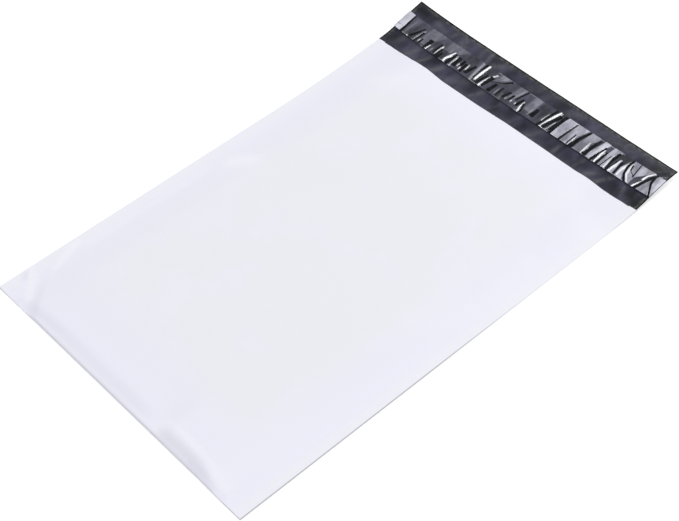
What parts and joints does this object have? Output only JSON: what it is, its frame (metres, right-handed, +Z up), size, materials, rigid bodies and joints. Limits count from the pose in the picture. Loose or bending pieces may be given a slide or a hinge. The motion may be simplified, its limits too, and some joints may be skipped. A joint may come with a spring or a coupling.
{
  "type": "poly mailer bag",
  "caption": "Flat plastic mailing bag with side seals, a folded bottom, an open mouth and a self-seal flap under a puckered release strip.",
  "frame": {"origin": "middle of the bag body's underside, halfway across the bag and halfway from the bottom fold to the mouth, on the surface that it lies on", "axes": "+X across the bag from its left side seal to its right one, seen with the flap away from the viewer; +Y from the bottom fold to the flap; +Z up, out of the front panel"},
  "size_m": [0.1906, 0.2992, 0.011],
  "materials": {
    "bag_film": "soft white polyethylene film, charcoal on its inner face",
    "adhesive": "tacky clear hot-melt strip",
    "liner": "glossy clear release film, puckered across its width"
  },
  "bodies": {
    "root": {"bag_film": "bag_film", "adhesive_strip": "adhesive", "release_liner": "liner"}
  },
  "joints": []
}
